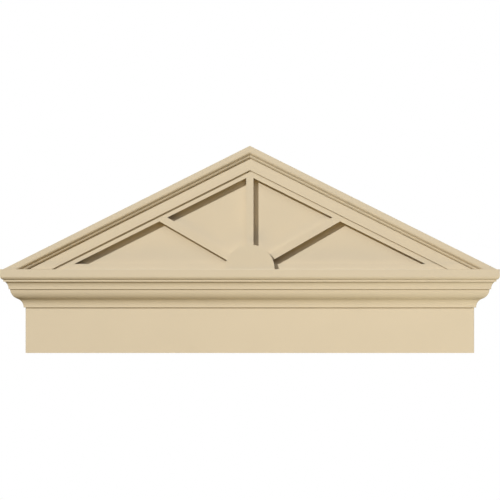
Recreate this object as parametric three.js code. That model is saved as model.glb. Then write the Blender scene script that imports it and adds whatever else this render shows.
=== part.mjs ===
// A classical pediment for the head of a door or window: a frieze board with a returned crown
// moulding, and over it a raking cornice that frames a recessed triangle with a half-round hub
// and three spokes.
//
// Millimetres. The front faces -Y, +Z is up and the wall is the plane Y = 0. The origin is the
// middle of the frieze board's back. "Out" is a distance from the wall, or from the face that a
// piece is fixed to, towards the front. "Across" is a distance in from the slope's upper edge,
// square to that slope.

import * as THREE from 'three';

// Overall
const overallWidth = 1219.2;
const pitch = 0.5;
const jointGap = 0.3;

// Frieze board
const friezeHeight = 111.1;
const friezeThickness = 19;

// Crown moulding, from its foot to its top
const footStep = 4.5;
const footHeight = 1.7;
const cymaHeight = 42.9;
const cymaDepth = 32.9;
const cymaTilt = 3;
const cymaHollowShare = 0.46;
const soffitDepth = 3.8;
const lipHeight = 2.1;
const coveHeight = 16.3;
const coveDepth = 9.2;
const coveTurn = 52;
const coveQuirk = 3.6;
const filletHeight = 4.8;
const ovoloQuirk = 1.5;
const ovoloHeight = 7.6;
const ovoloDepth = 7;
const ovoloTurn = 54;
const fasciaHeight = 17.6;

// Raking cornice, from its upper edge inwards
const rakeSetback = 7.4;
const capFaceWidth = 11.3;
const capOvoloWidth = 5.5;
const capOvoloDepth = 3.4;
const capOvoloTurn = 57;
const capCantWidth = 3.4;
const capCantDepth = 6.4;
const capFilletWidth = 1.3;
const capBeadWidth = 4.6;
const capBeadDepth = 5.2;
const capBeadTurn = 40;
const capReveal = 4.5;
const rakeBoardWidth = 26.9;
const rakeBoardThickness = 30.9;

// Back panel and the fret that stands on it
const panelThickness = 25.4;
const fretThickness = 24.1;
const strapWidth = 13;
const railHeight = 13.1;
const spokeWidth = 17.8;
const spokeAngle = 60;
const hubRadius = 60.5;
const hubThickness = 47;

// Smoothness of the curves, in degrees per facet
const arcStep = 6;
const hubStep = 3;

// Places worked out from the sizes above
const crownProjection =
  footStep + cymaDepth + soffitDepth + coveDepth + coveQuirk + ovoloQuirk + ovoloDepth;
const crownHeight =
  footHeight + cymaHeight + lipHeight + coveHeight + filletHeight + ovoloHeight + fasciaHeight;
const friezeBoardHeight = friezeHeight + crownHeight;
const friezeHalfWidth = overallWidth / 2 - crownProjection - jointGap;
const friezeBottomZ = -friezeBoardHeight / 2;
const crownBottomZ = friezeBottomZ + friezeHeight;
const crownTopZ = friezeBottomZ + friezeBoardHeight;

const slopeCosine = Math.cos(Math.atan(pitch));
const rakeHalfRun = overallWidth / 2 - rakeSetback;
const boardFront = panelThickness + rakeBoardThickness;
const capFront = boardFront + capReveal + capBeadDepth + capCantDepth + capOvoloDepth;
const capWidth = capFaceWidth + capOvoloWidth + capCantWidth + capFilletWidth + capBeadWidth;
const boardEdge = capWidth + rakeBoardWidth;
const strapEdge = boardEdge + strapWidth;

// Curves and outlines

// Adds an arc from the last point to the end point, turning by so many degrees, left positive.
function arcTo(points, end, turnDegrees) {
  const start = points.at(-1).clone();
  const turn = THREE.MathUtils.degToRad(turnDegrees);
  const steps = Math.max(2, Math.ceil(Math.abs(turnDegrees) / arcStep));
  const chord = end.clone().sub(start);
  const towardsCentre = new THREE.Vector2(-chord.y, chord.x);
  const centre = start.clone().addScaledVector(chord, 0.5);
  centre.addScaledVector(towardsCentre, 0.5 / Math.tan(turn / 2));
  for (let step = 1; step < steps; step++) {
    points.push(start.clone().rotateAround(centre, (turn * step) / steps));
  }
  points.push(end);
}

// Adds a straight stretch from the last point.
function lineBy(points, x, y) {
  points.push(points.at(-1).clone().add(new THREE.Vector2(x, y)));
}

// The crown's section, out and up from the foot of its back.
function crownSection() {
  const points = [new THREE.Vector2(0, 0)];
  lineBy(points, footStep, 0);
  lineBy(points, 0, footHeight);
  const cymaChord = new THREE.Vector2(cymaDepth, cymaHeight);
  const chordTilt = THREE.MathUtils.radToDeg(Math.atan2(cymaDepth, cymaHeight));
  const cymaTurn = 2 * (chordTilt - cymaTilt);
  const hollowEnd = points.at(-1).clone().addScaledVector(cymaChord, cymaHollowShare);
  const roundEnd = points.at(-1).clone().add(cymaChord);
  arcTo(points, hollowEnd, -cymaTurn);
  arcTo(points, roundEnd, cymaTurn);
  lineBy(points, soffitDepth, 0);
  lineBy(points, 0, lipHeight);
  arcTo(points, points.at(-1).clone().add(new THREE.Vector2(coveDepth, coveHeight)), -coveTurn);
  lineBy(points, coveQuirk, 0);
  lineBy(points, 0, filletHeight);
  lineBy(points, ovoloQuirk, 0);
  arcTo(points, points.at(-1).clone().add(new THREE.Vector2(ovoloDepth, ovoloHeight)), ovoloTurn);
  lineBy(points, 0, fasciaHeight);
  points.push(new THREE.Vector2(0, crownHeight));
  return new THREE.Shape(points);
}

// The cap's section, across and out from the wall: a flat face, an ovolo and a cant under it, then
// a narrow fillet and a bead.
function capSection() {
  const ovoloFoot = capFaceWidth + capOvoloWidth;
  const cantFoot = ovoloFoot + capCantWidth;
  const cantFront = capFront - capOvoloDepth;
  const filletFront = cantFront - capCantDepth;
  const points = [
    new THREE.Vector2(0, 0),
    new THREE.Vector2(capWidth, 0),
    new THREE.Vector2(capWidth, filletFront - capBeadDepth),
  ];
  arcTo(points, new THREE.Vector2(cantFoot + capFilletWidth, filletFront), capBeadTurn);
  points.push(new THREE.Vector2(cantFoot, filletFront));
  points.push(new THREE.Vector2(ovoloFoot, cantFront));
  arcTo(points, new THREE.Vector2(capFaceWidth, capFront), capOvoloTurn);
  points.push(new THREE.Vector2(0, capFront));
  return new THREE.Shape(points);
}

// A plain rectangular section, across and out.
function boardSection(nearEdge, farEdge, back, front) {
  return new THREE.Shape([
    new THREE.Vector2(nearEdge, back),
    new THREE.Vector2(farEdge, back),
    new THREE.Vector2(farEdge, front),
    new THREE.Vector2(nearEdge, front),
  ]);
}

// Solids

// A straight length of a section whose two ends are cut wherever pointAt puts them. pointAt
// takes the section's two coordinates and which end it is, 0 or 1.
function mitredLength(section, pointAt) {
  const geometry = new THREE.ExtrudeGeometry(section, { depth: 1, bevelEnabled: false });
  const position = geometry.attributes.position;
  for (let i = 0; i < position.count; i++) {
    const point = pointAt(position.getX(i), position.getY(i), Math.round(position.getZ(i)));
    position.setXYZ(i, point.x, point.y, point.z);
  }
  geometry.deleteAttribute('uv');
  geometry.computeVertexNormals();
  return geometry;
}

// A board cut to an outline that is drawn as seen from the front, x and z, with its back at Y = 0.
function cutBoard(outline, thickness) {
  const geometry = new THREE.ExtrudeGeometry(outline, { depth: thickness, bevelEnabled: false });
  return geometry.rotateX(Math.PI / 2);
}

// The same solid for the other side of the centre line, with its faces still pointing out.
function mirrored(geometry) {
  const copy = geometry.clone().scale(-1, 1, 1);
  const position = copy.attributes.position;
  const second = new THREE.Vector3();
  const third = new THREE.Vector3();
  for (let i = 0; i < position.count; i += 3) {
    second.fromBufferAttribute(position, i + 1);
    third.fromBufferAttribute(position, i + 2);
    position.setXYZ(i + 1, third.x, third.y, third.z);
    position.setXYZ(i + 2, second.x, second.y, second.z);
  }
  copy.computeVertexNormals();
  return copy;
}

function painted(name, geometry) {
  const paint = new THREE.MeshStandardMaterial({ color: 0xdbcaac, roughness: 0.45, metalness: 0 });
  const mesh = new THREE.Mesh(geometry, paint);
  mesh.name = name;
  return mesh;
}

// Frieze board, which runs up behind the crown moulding to its top
function friezeBoard() {
  const outline = new THREE.Shape([
    new THREE.Vector2(-friezeHalfWidth, friezeBottomZ),
    new THREE.Vector2(friezeHalfWidth, friezeBottomZ),
    new THREE.Vector2(friezeHalfWidth, crownTopZ),
    new THREE.Vector2(-friezeHalfWidth, crownTopZ),
  ]);
  return painted('frieze_board', cutBoard(outline, friezeThickness));
}

// Crown moulding: the front length and a mitred return at each end, back to the wall
function crown() {
  const group = new THREE.Group();
  group.position.z = crownBottomZ;
  const section = crownSection();
  const mitreSetback = jointGap / 2;
  const front = mitredLength(section, (out, up, end) => {
    const halfLength = friezeHalfWidth + jointGap + out - mitreSetback;
    const x = end === 0 ? halfLength : -halfLength;
    return new THREE.Vector3(x, -(friezeThickness + jointGap + out), up);
  });
  const rightReturn = mitredLength(section, (out, up, end) => {
    const reach = end === 0 ? 0 : friezeThickness + jointGap + out - mitreSetback;
    return new THREE.Vector3(friezeHalfWidth + jointGap + out, -reach, up);
  });
  group.add(painted('crown_front', front));
  group.add(painted('crown_return_right', rightReturn));
  group.add(painted('crown_return_left', mirrored(rightReturn)));
  return group;
}

// A pair of raking pieces, mitred at the apex and cut level on the crown's top
function rakingPair(name, section) {
  const right = mitredLength(section, (across, out, end) => {
    const lineTop = pitch * rakeHalfRun - across / slopeCosine;
    const x = end === 0 ? (lineTop - jointGap) / pitch : jointGap / 2;
    return new THREE.Vector3(x, -out, lineTop - pitch * x);
  });
  return [painted(`${name}_right`, right), painted(`${name}_left`, mirrored(right))];
}

// Raking cornice: a cap moulding over a rake board on each slope
function rakingCornice() {
  const group = new THREE.Group();
  group.position.z = crownTopZ;
  const boardBack = panelThickness + jointGap;
  const board = boardSection(capWidth + jointGap, boardEdge, boardBack, boardFront);
  group.add(...rakingPair('rake_cap', capSection()));
  group.add(...rakingPair('rake_board', board));
  return group;
}

// Back panel: the triangle under the caps, standing on the frieze board's top edge
function backPanel() {
  const upperCorner = pitch * rakeHalfRun - (capWidth + jointGap) / slopeCosine;
  const halfBase = (upperCorner - jointGap) / pitch;
  const outline = new THREE.Shape([
    new THREE.Vector2(-halfBase, jointGap),
    new THREE.Vector2(halfBase, jointGap),
    new THREE.Vector2(0, upperCorner),
  ]);
  const panel = painted('back_panel', cutBoard(outline, panelThickness));
  panel.position.z = crownTopZ;
  return panel;
}

// How far along its own axis a spoke runs before it meets the straps, at a distance off the axis
function strapDistance(angle, offAxis) {
  const strapApex = pitch * rakeHalfRun - (strapEdge + jointGap) / slopeCosine;
  const towardsSlope = Math.sin(angle) - pitch * Math.cos(angle);
  return (strapApex + offAxis * towardsSlope) / (Math.cos(angle) + pitch * Math.sin(angle));
}

// A spoke, drawn upright from the hub's centre and turned by its angle from the vertical
function spoke(name, degrees) {
  const angle = THREE.MathUtils.degToRad(Math.abs(degrees));
  const half = spokeWidth / 2;
  const seatRadius = hubRadius + jointGap;
  const points = [];
  const steps = 2 * Math.ceil(spokeWidth / hubRadius / THREE.MathUtils.degToRad(2 * hubStep));
  for (let step = 0; step <= steps; step++) {
    const offAxis = -half + (spokeWidth * step) / steps;
    points.push(new THREE.Vector2(offAxis, Math.sqrt(seatRadius ** 2 - offAxis ** 2)));
  }
  points.push(new THREE.Vector2(half, strapDistance(angle, half)));
  if (angle === 0) {
    points.push(new THREE.Vector2(0, strapDistance(angle, 0)));
  }
  points.push(new THREE.Vector2(-half, strapDistance(angle, angle === 0 ? half : -half)));
  const geometry = cutBoard(new THREE.Shape(points), fretThickness - jointGap);
  const mesh = painted(name, degrees < 0 ? mirrored(geometry) : geometry);
  mesh.rotation.y = THREE.MathUtils.degToRad(degrees);
  return mesh;
}

// The right-hand half of the bottom rail, from the hub's rim to the strap
function rightRail() {
  const seatRadius = hubRadius + jointGap;
  const strapApex = strapDistance(0, 0);
  const rimSteps = 4;
  const points = [
    new THREE.Vector2((strapApex - jointGap) / pitch, jointGap),
    new THREE.Vector2((strapApex - railHeight) / pitch, railHeight),
  ];
  for (let step = 0; step <= rimSteps; step++) {
    const z = railHeight + ((jointGap - railHeight) * step) / rimSteps;
    points.push(new THREE.Vector2(Math.sqrt(seatRadius ** 2 - z ** 2), z));
  }
  return cutBoard(new THREE.Shape(points), fretThickness - jointGap);
}

// The half-round hub, which stands proud of the spokes
function hub() {
  const baseAngle = Math.asin(jointGap / hubRadius);
  const outline = new THREE.Shape();
  outline.absarc(0, 0, hubRadius, baseAngle, Math.PI - baseAngle, false);
  const geometry = new THREE.ExtrudeGeometry(outline, {
    depth: hubThickness - jointGap,
    bevelEnabled: false,
    curveSegments: Math.round(180 / hubStep),
  });
  return painted('hub', geometry.rotateX(Math.PI / 2));
}

// Fret: the straps along the slopes, the bottom rail, the spokes and the hub
function fret() {
  const group = new THREE.Group();
  group.position.set(0, -(panelThickness + jointGap), crownTopZ);
  const strap = boardSection(boardEdge + jointGap, strapEdge, 0, fretThickness - jointGap);
  const rail = rightRail();
  group.add(...rakingPair('rake_strap', strap));
  group.add(painted('bottom_rail_right', rail));
  group.add(painted('bottom_rail_left', mirrored(rail)));
  group.add(spoke('spoke_centre', 0));
  group.add(spoke('spoke_right', spokeAngle));
  group.add(spoke('spoke_left', -spokeAngle));
  group.add(hub());
  return group;
}

const pediment = new THREE.Group();
pediment.add(friezeBoard());
pediment.add(crown());
pediment.add(backPanel());
pediment.add(rakingCornice());
pediment.add(fret());

export default pediment;
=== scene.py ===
"""A painted classical pediment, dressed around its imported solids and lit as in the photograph.

Metres. The front faces -Y, +Z is up and the wall is the plane Y = 0.
"""
import math

import bmesh
import bpy
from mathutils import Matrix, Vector
from mathutils.kdtree import KDTree


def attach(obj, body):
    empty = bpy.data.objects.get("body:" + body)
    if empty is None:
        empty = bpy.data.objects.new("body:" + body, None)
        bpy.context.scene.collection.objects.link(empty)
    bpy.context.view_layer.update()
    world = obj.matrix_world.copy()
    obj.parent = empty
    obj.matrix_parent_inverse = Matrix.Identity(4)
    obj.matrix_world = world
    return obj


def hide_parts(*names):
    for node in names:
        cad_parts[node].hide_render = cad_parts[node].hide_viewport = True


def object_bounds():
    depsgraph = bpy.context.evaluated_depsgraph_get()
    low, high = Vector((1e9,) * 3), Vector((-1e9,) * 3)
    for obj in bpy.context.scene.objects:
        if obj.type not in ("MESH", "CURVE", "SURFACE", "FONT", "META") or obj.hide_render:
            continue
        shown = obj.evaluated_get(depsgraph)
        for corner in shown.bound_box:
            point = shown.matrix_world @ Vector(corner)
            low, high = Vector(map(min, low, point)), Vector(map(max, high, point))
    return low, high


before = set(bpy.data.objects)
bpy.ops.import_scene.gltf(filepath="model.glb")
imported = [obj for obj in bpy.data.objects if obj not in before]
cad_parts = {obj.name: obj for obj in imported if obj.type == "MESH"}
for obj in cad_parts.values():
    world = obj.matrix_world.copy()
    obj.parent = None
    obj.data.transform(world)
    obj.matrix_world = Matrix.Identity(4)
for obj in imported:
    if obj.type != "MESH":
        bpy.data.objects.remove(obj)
cad_low, cad_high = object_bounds()

MM = 0.001

# Joints: the widest gap that is closed, how far a stick's ends run on, and when two points are one
JOINT_REACH = 0.45 * MM
JOINT_OVERLAP = 0.6 * MM
WELD_REACH = JOINT_REACH / 10

# Faces this close to one plane are one face, and edges sharper than this are eased
FLAT_ANGLE = math.radians(0.4)
EDGE_ANGLE = math.radians(25)
BOARD_EDGE = 0.7 * MM
MOULDING_EDGE = 0.35 * MM
EDGE_SEGMENTS = 2
FILM = 0.16 * MM

# Studio
CAMERA_DISTANCE = 2
FLOOR_REACH = 6
FLOOR_DROP = 1.9

# The photograph's frame, 500 pixels square
PHOTO_SIZE = 500
OBJECT_MIDDLE_COLUMN = 249.85
OBJECT_BOTTOM_ROW = 353.0

# Paint: its colour, and the scale, detail and range of its unevenness
PAINT = (0.59, 0.495, 0.345)
MOTTLE = (9, 3)
MOTTLE_TONE = (0.975, 1.025)
SHEEN = (60, 2)
SHEEN_ROUGHNESS = (0.42, 0.56)
SPECULAR = 0.3
STIPPLE = (700, 2)
STIPPLE_HEIGHT = 0.05 * MM
BOARD_STIPPLE = 0.35
MOULDING_STIPPLE = 0.2

# Floor, ground and light
FLOOR_COLOUR = (0.86, 0.86, 0.85)
FLOOR_ROUGHNESS = 0.7
WHITE = (1, 1, 1, 1)
KEY_SLOPE_RIGHT = 0.507
KEY_SLOPE_DOWN = 0.465
KEY_STRENGTH = 3.07
KEY_ANGLE = math.radians(1.8)
KEY_COLOUR = (0.938, 0.964, 1)
AMBIENT = 0.005

# Each soft light's place, width, power and colour
SOFT_LIGHTS = {
    "upper_front": ((0.3, -2.6, 1.6), 2.5, 25.7, (1, 0.99, 1)),
    "low_front": ((0, -2, -2), 2.0, 26.2, (1, 0.76, 0.36)),
    "low_right": ((1.0, -0.15, -1.1), 0.6, 10.2, (0.99, 1, 0.92)),
    "behind": ((0.6, 2.4, 1.2), 2.0, 32.0, (1, 0.97, 0.92)),
}


# Camera and light

def make_camera():
    """A level camera square to the front, framed as the photograph is."""
    pixel = (cad_high.x - cad_low.x) / PHOTO_SIZE
    data = bpy.data.cameras.new("camera")
    data.type = "ORTHO"
    data.ortho_scale = PHOTO_SIZE * pixel
    camera = bpy.data.objects.new("camera", data)
    bpy.context.scene.collection.objects.link(camera)
    middle = PHOTO_SIZE / 2
    camera.location = (
        (middle - OBJECT_MIDDLE_COLUMN) * pixel,
        cad_low.y - CAMERA_DISTANCE,
        cad_low.z + (OBJECT_BOTTOM_ROW - middle) * pixel,
    )
    camera.rotation_euler = (math.pi / 2, 0, 0)
    bpy.context.scene.camera = camera


def aim(lamp, direction):
    lamp.rotation_mode = "QUATERNION"
    lamp.rotation_quaternion = Vector(direction).to_track_quat("-Z", "Y")


def make_lights():
    """A near-frontal key from the upper left, and soft lights that fill its shadows."""
    key = bpy.data.objects.new("key", bpy.data.lights.new("key", "SUN"))
    key.data.energy = KEY_STRENGTH
    key.data.angle = KEY_ANGLE
    key.data.color = KEY_COLOUR
    aim(key, (KEY_SLOPE_RIGHT, 1, -KEY_SLOPE_DOWN))
    bpy.context.scene.collection.objects.link(key)
    for name, (place, size, power, colour) in SOFT_LIGHTS.items():
        lamp = bpy.data.objects.new(name, bpy.data.lights.new(name, "AREA"))
        lamp.data.shape = "DISK"
        lamp.data.size = size
        lamp.data.energy = power
        lamp.data.color = colour
        lamp.location = place
        aim(lamp, (cad_low + cad_high) / 2 - lamp.location)
        bpy.context.scene.collection.objects.link(lamp)


def make_world():
    """A white ground behind the object, and a faint, even light from all round."""
    world = bpy.data.worlds.new("studio")
    world.use_nodes = True
    nodes, links = world.node_tree.nodes, world.node_tree.links
    nodes.clear()
    output = nodes.new("ShaderNodeOutputWorld")
    mix = nodes.new("ShaderNodeMixShader")
    path = nodes.new("ShaderNodeLightPath")
    ambient = nodes.new("ShaderNodeBackground")
    ambient.inputs["Strength"].default_value = AMBIENT
    ambient.inputs["Color"].default_value = WHITE
    ground = nodes.new("ShaderNodeBackground")
    ground.inputs["Color"].default_value = WHITE
    links.new(path.outputs["Is Camera Ray"], mix.inputs["Fac"])
    links.new(ambient.outputs[0], mix.inputs[1])
    links.new(ground.outputs[0], mix.inputs[2])
    links.new(mix.outputs[0], output.inputs["Surface"])
    bpy.context.scene.world = world
    bpy.context.scene.view_settings.view_transform = "Standard"


def make_floor():
    """A plain pale floor, below the photograph's frame."""
    mesh = bpy.data.meshes.new("floor")
    height = cad_low.z - FLOOR_DROP
    corners = [
        (-FLOOR_REACH, -FLOOR_REACH, height),
        (FLOOR_REACH, -FLOOR_REACH, height),
        (FLOOR_REACH, FLOOR_REACH, height),
        (-FLOOR_REACH, FLOOR_REACH, height),
    ]
    mesh.from_pydata(corners, [], [(0, 1, 2, 3)])
    floor = bpy.data.objects.new("floor", mesh)
    bpy.context.scene.collection.objects.link(floor)
    material = bpy.data.materials.new("floor")
    material.use_nodes = True
    shader = material.node_tree.nodes["Principled BSDF"]
    shader.inputs["Base Color"].default_value = (*FLOOR_COLOUR, 1)
    shader.inputs["Roughness"].default_value = FLOOR_ROUGHNESS
    mesh.materials.append(material)
    floor.visible_diffuse = False
    floor.visible_glossy = False


# Paint

def noise(tree, coordinates, pattern):
    scale, detail = pattern
    node = tree.nodes.new("ShaderNodeTexNoise")
    node.inputs["Scale"].default_value = scale
    node.inputs["Detail"].default_value = detail
    tree.links.new(coordinates, node.inputs["Vector"])
    return node.outputs["Fac"]


def ramp(tree, value, limits):
    low, high = limits
    node = tree.nodes.new("ShaderNodeMapRange")
    node.inputs["To Min"].default_value = low
    node.inputs["To Max"].default_value = high
    tree.links.new(value, node.inputs["Value"])
    return node.outputs["Result"]


def make_paint(name, stipple):
    """Satin tan paint: faint broad mottling, uneven gloss and a fine orange-peel stipple."""
    material = bpy.data.materials.new(name)
    material.use_nodes = True
    tree = material.node_tree
    shader = tree.nodes["Principled BSDF"]
    coordinates = tree.nodes.new("ShaderNodeTexCoord").outputs["Object"]
    tone = ramp(tree, noise(tree, coordinates, MOTTLE), MOTTLE_TONE)
    colour = tree.nodes.new("ShaderNodeVectorMath")
    colour.operation = "SCALE"
    colour.inputs[0].default_value = PAINT
    tree.links.new(tone, colour.inputs["Scale"])
    tree.links.new(colour.outputs["Vector"], shader.inputs["Base Color"])
    roughness = ramp(tree, noise(tree, coordinates, SHEEN), SHEEN_ROUGHNESS)
    tree.links.new(roughness, shader.inputs["Roughness"])
    shader.inputs["Specular IOR Level"].default_value = SPECULAR
    bump = tree.nodes.new("ShaderNodeBump")
    bump.inputs["Strength"].default_value = stipple
    bump.inputs["Distance"].default_value = STIPPLE_HEIGHT
    tree.links.new(noise(tree, coordinates, STIPPLE), bump.inputs["Height"])
    tree.links.new(bump.outputs["Normal"], shader.inputs["Normal"])
    return material


# Pieces

def node_mesh(*names):
    """The solids of these nodes in one mesh. Each face remembers which node it came from."""
    mesh = bmesh.new()
    source = mesh.faces.layers.int.new("source")
    for index, name in enumerate(names):
        known = len(mesh.faces)
        mesh.from_mesh(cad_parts[name].data)
        mesh.faces.ensure_lookup_table()
        for face in mesh.faces[known:]:
            face[source] = index
        bmesh.ops.remove_doubles(mesh, verts=mesh.verts, dist=WELD_REACH)
    return mesh, source


def flatten(mesh):
    """Joins the triangles of each flat face."""
    bmesh.ops.dissolve_limit(mesh, angle_limit=FLAT_ANGLE, verts=mesh.verts, edges=mesh.edges)
    bmesh.ops.recalc_face_normals(mesh, faces=mesh.faces)


def close_mitres(mesh, source):
    """Brings the two sides of each filled mitre together and removes the faces inside it."""
    mesh.verts.ensure_lookup_table()
    owner = [vertex.link_faces[0][source] for vertex in mesh.verts]
    tree = KDTree(len(mesh.verts))
    for vertex in mesh.verts:
        tree.insert(vertex.co, vertex.index)
    tree.balance()
    places = {}
    for vertex in mesh.verts:
        for place, index, _ in tree.find_range(vertex.co, JOINT_REACH):
            if owner[index] != owner[vertex.index]:
                places[vertex.index] = (vertex.co + place) / 2
    for index, place in places.items():
        mesh.verts[index].co = place
    bmesh.ops.remove_doubles(mesh, verts=mesh.verts, dist=WELD_REACH)
    mesh.verts.index_update()
    owners = [{face[source] for face in vertex.link_faces} for vertex in mesh.verts]
    inside = []
    for face in mesh.faces:
        common = set.intersection(*(owners[vertex.index] for vertex in face.verts))
        if len(common) > 1:
            inside.append(face)
    bmesh.ops.delete(mesh, geom=inside, context="FACES")


def lengthen(mesh):
    """Runs both ends of a straight stick a little further on, along its longest edges."""
    longest = max(mesh.edges, key=lambda edge: edge.calc_length())
    axis = (longest.verts[1].co - longest.verts[0].co).normalized()
    middle = sum((v.co for v in mesh.verts), Vector()) / len(mesh.verts)
    for vertex in mesh.verts:
        side = math.copysign(1, (vertex.co - middle).dot(axis))
        vertex.co += axis * side * JOINT_OVERLAP


def thicken(mesh):
    """The film of filler and paint that closes the joints, the same on every face."""
    mesh.normal_update()
    offsets = [vertex.normal * vertex.calc_shell_factor() * FILM for vertex in mesh.verts]
    for vertex, offset in zip(mesh.verts, offsets):
        vertex.co += offset


def new_object(name, mesh):
    data = bpy.data.meshes.new(name)
    mesh.to_mesh(data)
    mesh.free()
    stored = data.attributes.get("custom_normal")
    if stored:
        data.attributes.remove(stored)
    made = bpy.data.objects.new(name, data)
    bpy.context.scene.collection.objects.link(made)
    return made


def mitred(name, *nodes):
    """One run of moulding or board whose mitres are glued, filled and painted over."""
    mesh, source = node_mesh(*nodes)
    close_mitres(mesh, source)
    flatten(mesh)
    thicken(mesh)
    return new_object(name, mesh)


def fuse(target, *others):
    """Joins other solids to the target, as filled and painted butt joints."""
    for other in others:
        union = target.modifiers.new("joint", "BOOLEAN")
        union.operation = "UNION"
        union.solver = "EXACT"
        union.object = other
    bpy.context.view_layer.update()
    evaluated = target.evaluated_get(bpy.context.evaluated_depsgraph_get())
    data = bpy.data.meshes.new_from_object(evaluated)
    target.modifiers.clear()
    target.data = data
    mesh = bmesh.new()
    mesh.from_mesh(data)
    flatten(mesh)
    mesh.to_mesh(data)
    mesh.free()
    for other in others:
        bpy.data.objects.remove(other)


def finish_piece(piece, material, edge):
    """Eased edges, smooth curves and paint."""
    piece.data.materials.clear()
    piece.data.materials.append(material)
    for polygon in piece.data.polygons:
        polygon.use_smooth = True
    weld = piece.modifiers.new("weld", "WELD")
    weld.merge_threshold = WELD_REACH
    bevel = piece.modifiers.new("eased edges", "BEVEL")
    bevel.limit_method = "ANGLE"
    bevel.angle_limit = EDGE_ANGLE
    bevel.width = edge
    bevel.segments = EDGE_SEGMENTS
    bevel.use_clamp_overlap = True
    shading = piece.modifiers.new("flat faces", "WEIGHTED_NORMAL")
    shading.keep_sharp = False


def dress(piece, nodes, material, edge):
    """A new piece that stands for some nodes."""
    finish_piece(piece, material, edge)
    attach(piece, "root")
    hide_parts(*nodes)


def both_sides(name):
    return f"{name}_right", f"{name}_left"


def make_fretwork():
    """The straps, rails and spokes as one frame."""
    straps = mitred("fretwork", *both_sides("rake_strap"))
    sticks = []
    for name in (*both_sides("bottom_rail"), "spoke_centre", *both_sides("spoke")):
        mesh, _ = node_mesh(name)
        flatten(mesh)
        lengthen(mesh)
        sticks.append(new_object(name + "_fused", mesh))
    fuse(straps, *sticks)
    return straps


make_camera()
make_lights()
make_world()
make_floor()

board_paint = make_paint("board_paint", BOARD_STIPPLE)
moulding_paint = make_paint("moulding_paint", MOULDING_STIPPLE)

crown_nodes = ("crown_front", *both_sides("crown_return"))
cap_nodes = both_sides("rake_cap")
board_nodes = both_sides("rake_board")
fret_nodes = (
    *both_sides("rake_strap"),
    *both_sides("bottom_rail"),
    "spoke_centre",
    *both_sides("spoke"),
)
dress(mitred("crown", *crown_nodes), crown_nodes, moulding_paint, MOULDING_EDGE)
dress(mitred("raking_cap", *cap_nodes), cap_nodes, moulding_paint, MOULDING_EDGE)
dress(mitred("raking_board", *board_nodes), board_nodes, board_paint, BOARD_EDGE)
dress(make_fretwork(), fret_nodes, board_paint, BOARD_EDGE)
for name in ("frieze_board", "back_panel", "hub"):
    finish_piece(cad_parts[name], board_paint, BOARD_EDGE)
